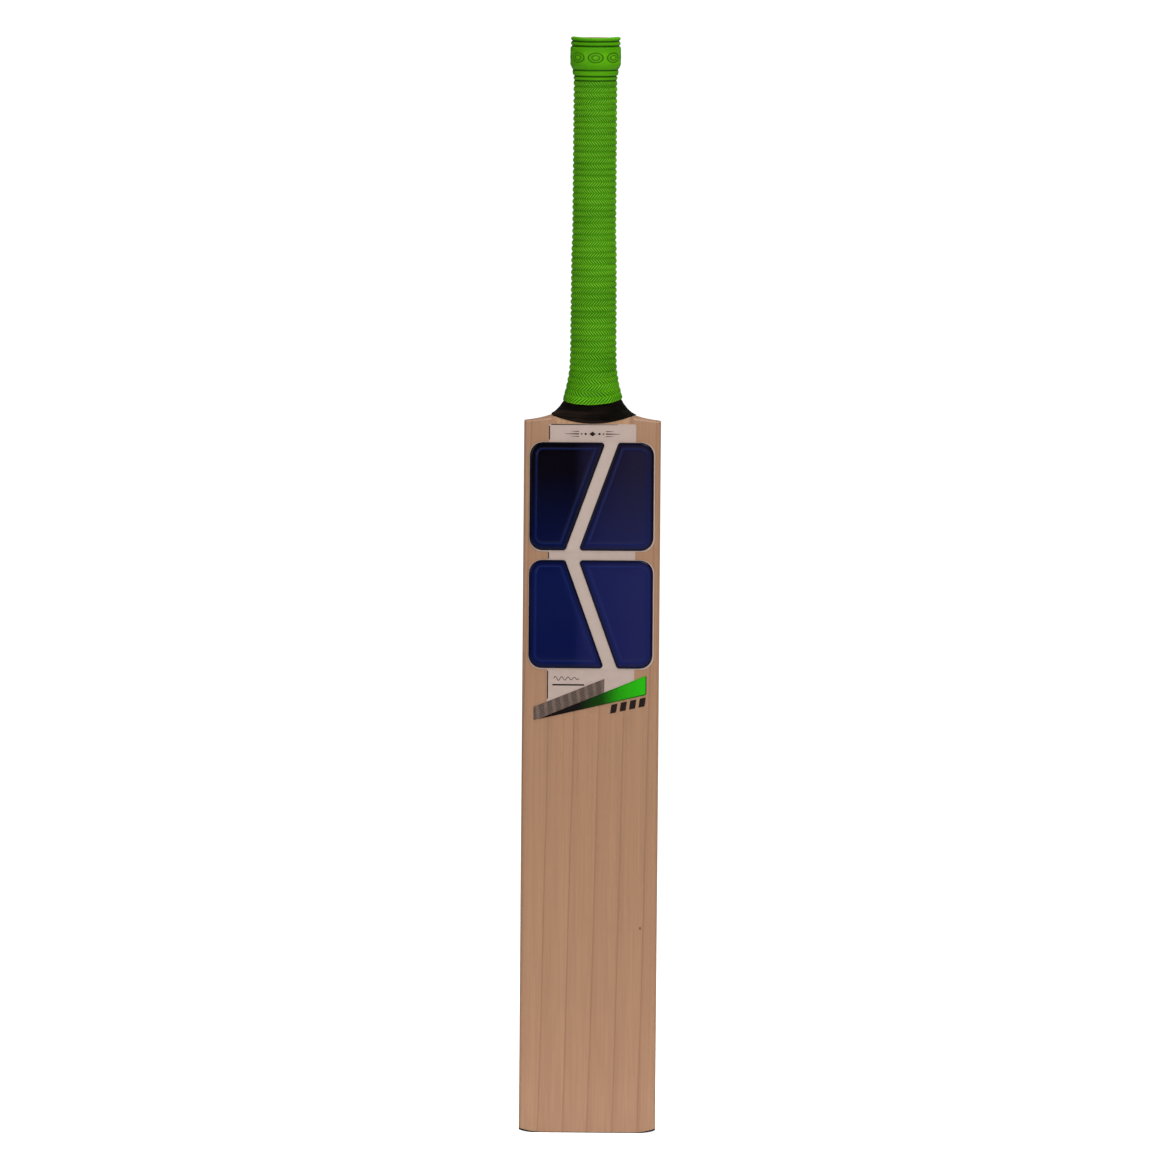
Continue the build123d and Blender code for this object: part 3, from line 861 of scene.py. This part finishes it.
def build_panel(name, node, corners, radii, tree):
    """A domed panel on its backing film, from its outline as x and z."""
    base = convex_ring(corners, radii, 0)
    size = len(base)
    points = [Vector((x, front_at(tree, x, z) + DOME_SUNK, z)) for x, z in base]
    relief = [1.0] * size
    rows = 1
    for inset, height in DOME_HEIGHTS:
        for x, z in convex_ring(corners, radii, inset * MM):
            points.append(Vector((x, front_at(tree, x, z) - height * MM, z)))
            relief.append(stepped(DOME_SHADE, inset))
        rows += 1
    last = points[-size:]
    centre = sum(last, Vector()) / size
    for share in (0.66, 0.33):
        for point in last:
            place = centre.lerp(point, share)
            place.y = front_at(tree, place.x, place.z) - DOME_TOP
            points.append(place)
            relief.append(0.0)
        rows += 1
    centre.y = front_at(tree, centre.x, centre.z) - DOME_TOP
    points.append(centre)
    relief.append(0.0)
    faces = [quad(row, row + 1, column, size) for row in range(rows - 1) for column in range(size)]
    tip = len(points) - 1
    last_row = (rows - 1) * size
    faces += [(last_row + column, last_row + (column + 1) % size, tip) for column in range(size)]
    faces.append(tuple(reversed(range(size))))
    piece(name, points, faces, RESIN, [node], relief=relief)


MARGIN = 0.9 * MM  # of film in view on the right and below
TIGHT = 0.3 * MM  # on the left and above
CHANNEL = 9.5 * MM
TILE_ROUND = 10.3 * MM
INNER_ROUND = 2.5 * MM
CHANNEL_LEAN = math.radians(20)


def build_tile(level, lean):
    """The two domed panels of one tile, with a leaning channel between them."""
    backing = f"emblem_{level}_backing"
    film = surface_of(backing)
    tile_low, tile_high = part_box(backing)
    x0, x1 = tile_low.x + TIGHT, tile_high.x - MARGIN
    z0, z1 = tile_low.z + MARGIN, tile_high.z - TIGHT
    half = CHANNEL / 2 / math.cos(lean)
    run = (z1 - z0) / 2 * math.tan(lean)
    left = [(x0, z0), (-run - half, z0), (run - half, z1), (x0, z1)]
    right = [(-run + half, z0), (x1, z0), (x1, z1), (run + half, z1)]
    left_round = (TILE_ROUND, INNER_ROUND, INNER_ROUND, TILE_ROUND)
    right_round = (INNER_ROUND, TILE_ROUND, TILE_ROUND, INNER_ROUND)
    build_panel(f"dome_{level}_left", f"emblem_{level}_left", [Vector(c) for c in left], left_round, film)
    build_panel(f"dome_{level}_right", f"emblem_{level}_right", [Vector(c) for c in right], right_round, film)


build_tile("upper", CHANNEL_LEAN)
build_tile("lower", -CHANNEL_LEAN)

# ---- plain printed marks on the films, and painted shadow lines along the strip's edges; their places and sizes are in mm ----


INK_LIFT = 0.06  # thickness of the ink over the film, in mm
INK_SUNK = 0.02  # how far it goes into the film
LONGEST = 2.5  # longest flat piece of a stroke, in mm
WAVE_STEPS = 14  # strokes in one wave


def build_prints(name, shapes, tree):
    """Flat marks of ink on the film: each shape is a small outline in x and z, in mm."""
    points, faces = [], []
    for shape in shapes:
        first = len(points)
        count = len(shape)
        for lift in (-INK_SUNK, INK_LIFT):
            for x, z in shape:
                points.append(Vector((x * MM, front_at(tree, x * MM, z * MM) - lift * MM, z * MM)))
        faces.append(tuple(first + count + i for i in range(count)))
        faces.append(tuple(first + i for i in reversed(range(count))))
        for i in range(count):
            j = (i + 1) % count
            faces.append((first + i, first + j, first + count + j, first + count + i))
    piece(name, points, faces, INK, smooth=False)


def stroke(start, end, width_start, width_end):
    """A straight tapered stroke, as outlines short enough to follow the crowned face."""
    a, b = Vector(start), Vector(end)
    side = Vector((-(b - a).y, (b - a).x)).normalized()
    count = math.ceil((b - a).length / LONGEST)
    edges = []
    for i in range(count + 1):
        place = a.lerp(b, i / count)
        half = (width_start + (width_end - width_start) * i / count) / 2
        edges.append((place - side * half, place + side * half))
    return [[low_a, low_b, high_b, high_a] for (low_a, high_a), (low_b, high_b) in zip(edges, edges[1:])]


def lozenge(x, z, half_width, half_height):
    """A lozenge standing on its point, as one outline."""
    return [[(x - half_width, z), (x, z - half_height), (x + half_width, z), (x, z + half_height)]]


def wave(start_x, end_x, z, swing, waves, width):
    """A wavy line that dies down to half its swing, as outlines."""
    steps = WAVE_STEPS * waves
    track = []
    for i in range(steps + 1):
        x = start_x + (end_x - start_x) * i / steps
        track.append((x, z + swing * math.sin(2 * math.pi * waves * i / steps) * (1 - 0.5 * i / steps)))
    return [outline for a, b in zip(track, track[1:]) for outline in stroke(a, b, width, width)]


strip_surface = surface_of("face_strip")
strip_low, strip_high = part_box("face_strip")

TITLE_Z = 550.2
RAYS_X = 10.6
RAY_GAP = 2.0


def build_title():
    """A row of lozenges with tapered rays on both sides, across the top of the strip."""
    title = lozenge(0, TITLE_Z, 2.6, 1.9)
    for side in (-1, 1):
        title += lozenge(side * 5.4, TITLE_Z, 1.3, 1.0)
        title += lozenge(side * 8.6, TITLE_Z, 0.9, 0.7)
        title += stroke((side * RAYS_X, TITLE_Z), (side * 21.5, TITLE_Z), 1.0, 0.25)
        for ray_z in (TITLE_Z + RAY_GAP, TITLE_Z - RAY_GAP):
            title += stroke((side * RAYS_X, ray_z), (side * 16.5, ray_z), 0.6, 0.2)
    build_prints("title_print", title, strip_surface)


FLOURISH_Z = 357.6
UNDERLINE_Z = 352.6


def build_flourish():
    """A wavy line over a straight one, at the foot of the strip."""
    flourish = wave(-29.0, -9.0, FLOURISH_Z, 1.7, 4, 0.5)
    flourish += stroke((-30.0, UNDERLINE_Z), (-5.0, UNDERLINE_Z), 1.2, 1.2)
    build_prints("flourish_print", flourish, strip_surface)


def build_wedge_outline():
    """A dark line round the top, the broad end and the right half of the foot of the wedge."""
    under_flash = surface_of("flash_wedge", "flash_band", "face_strip", "blade")
    wedge_low, wedge_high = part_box("flash_wedge")
    tip = (wedge_low.x / MM + 4.0, wedge_low.z / MM + 1.5)
    above = (wedge_high.x / MM - 0.3, wedge_high.z / MM - 0.5)
    below = (wedge_high.x / MM - 0.3, wedge_low.z / MM + 19.8)
    outline = stroke(tip, above, 0.7, 0.7)
    outline += stroke(above, below, 0.6, 0.6)
    outline += stroke((5.0, below[1] - 8.7), below, 0.3, 0.6)
    build_prints("wedge_outline", outline, under_flash)


BORDER = 0.8  # width, in mm
BORDER_INSET = 0.5


def build_border():
    """Short dark lines, painted shadow, down the strip's left edge where it shows between the tiles, and
    along its top.
    """
    left = strip_low.x / MM + BORDER_INSET
    top = strip_high.z / MM - BORDER_INSET
    border = []
    for foot_z, head_z in ((341.5, 363.5), (451.8, 456.9), (545.5, top - 1.0)):
        border += stroke((left, foot_z), (left, head_z), BORDER, BORDER)
    border += stroke((left + 1.2, top), (20.0, top), BORDER, 0.3)
    build_prints("painted_shadow_lines", border, strip_surface)


build_title()
build_flourish()
build_wedge_outline()
build_border()

# ---- stage: floor, lights and camera ----


FLOOR_REACH = 300.0
CAMERA_DISTANCE = 12.0
CAMERA_COVERS = 0.9245  # metres across the picture at the bat
CAMERA_ELEVATION = math.radians(2.5)
CAMERA_ROLL = math.radians(0.47)
CAMERA_SENSOR = 36.0
CAMERA_SHIFTED = Vector((-3.4 * MM, 0, -2.8 * MM))  # what it looks at, from the bat's middle


def build_floor():
    """A pale floor that the camera sees as white."""
    mesh = bpy.data.meshes.new("floor")
    corners = [(x * FLOOR_REACH, y * FLOOR_REACH, 0) for x, y in ((-1, -1), (1, -1), (1, 1), (-1, 1))]
    mesh.from_pydata(corners, [], [(0, 1, 2, 3)])
    floor = bpy.data.objects.new("floor", mesh)
    bpy.context.scene.collection.objects.link(floor)
    material = bpy.data.materials.new("pale_floor")
    material.use_nodes = True
    shader = material.node_tree.nodes["Principled BSDF"]
    shader.inputs["Base Color"].default_value = (0.86, 0.86, 0.86, 1)
    shader.inputs["Roughness"].default_value = 0.9
    shader.inputs["Specular IOR Level"].default_value = 0.1
    shader.inputs["Emission Color"].default_value = (1, 1, 1, 1)
    seen = material.node_tree.nodes.new("ShaderNodeLightPath").outputs["Is Camera Ray"]
    material.node_tree.links.new(seen, shader.inputs["Emission Strength"])
    mesh.materials.append(material)


def build_world():
    """Soft light from all round, which the camera sees as white."""
    world = bpy.data.worlds.new("studio")
    world.use_nodes = True
    tree = world.node_tree
    seen = tree.nodes.new("ShaderNodeLightPath").outputs["Is Camera Ray"]
    strength = tree.nodes.new("ShaderNodeMapRange")
    strength.inputs["To Min"].default_value = 0.11
    strength.inputs["To Max"].default_value = 1.0
    tree.links.new(seen, strength.inputs[0])
    tree.links.new(strength.outputs[0], tree.nodes["Background"].inputs["Strength"])
    tree.nodes["Background"].inputs["Color"].default_value = (1, 1, 1, 1)
    bpy.context.scene.world = world


def softbox(name, place, target, size, watts):
    """A rectangular lamp that faces a target."""
    light = bpy.data.lights.new(name, "AREA")
    light.shape = "RECTANGLE"
    light.size, light.size_y = size
    light.energy = watts
    made = bpy.data.objects.new(name, light)
    made.location = place
    made.rotation_euler = (Vector(target) - Vector(place)).to_track_quat("-Z", "Y").to_euler()
    bpy.context.scene.collection.objects.link(made)


def build_camera():
    """In front of the face and a little above, with a long lens."""
    camera = bpy.data.cameras.new("camera")
    camera.sensor_width = CAMERA_SENSOR
    camera.lens = CAMERA_SENSOR * CAMERA_DISTANCE / CAMERA_COVERS
    camera.clip_end = 1000.0
    away = Vector((0, -math.cos(CAMERA_ELEVATION), math.sin(CAMERA_ELEVATION)))
    made = bpy.data.objects.new("camera", camera)
    made.location = middle + CAMERA_SHIFTED + away * CAMERA_DISTANCE
    facing = (-away).to_track_quat("-Z", "Y").to_matrix().to_4x4()
    made.rotation_euler = (facing @ facing.Rotation(CAMERA_ROLL, 4, "Z")).to_euler()
    bpy.context.scene.collection.objects.link(made)
    bpy.context.scene.camera = made


build_floor()
build_world()
softbox("key", (1.1, -2.4, 2.3), (0, 0, 0.45), (1.2, 1.6), 52)
softbox("fill", (-1.8, -2.4, 1.1), (0, 0, 0.45), (1.4, 1.6), 20)
softbox("overhead", (0.2, 0.1, 2.6), (0, 0, 0), (2.0, 2.0), 45)
softbox("card", (0.42, -2.4, 0.24), (0, 0, 0.45), (0.62, 0.8), 0.8)
build_camera()
bpy.context.scene.view_settings.view_transform = "Standard"
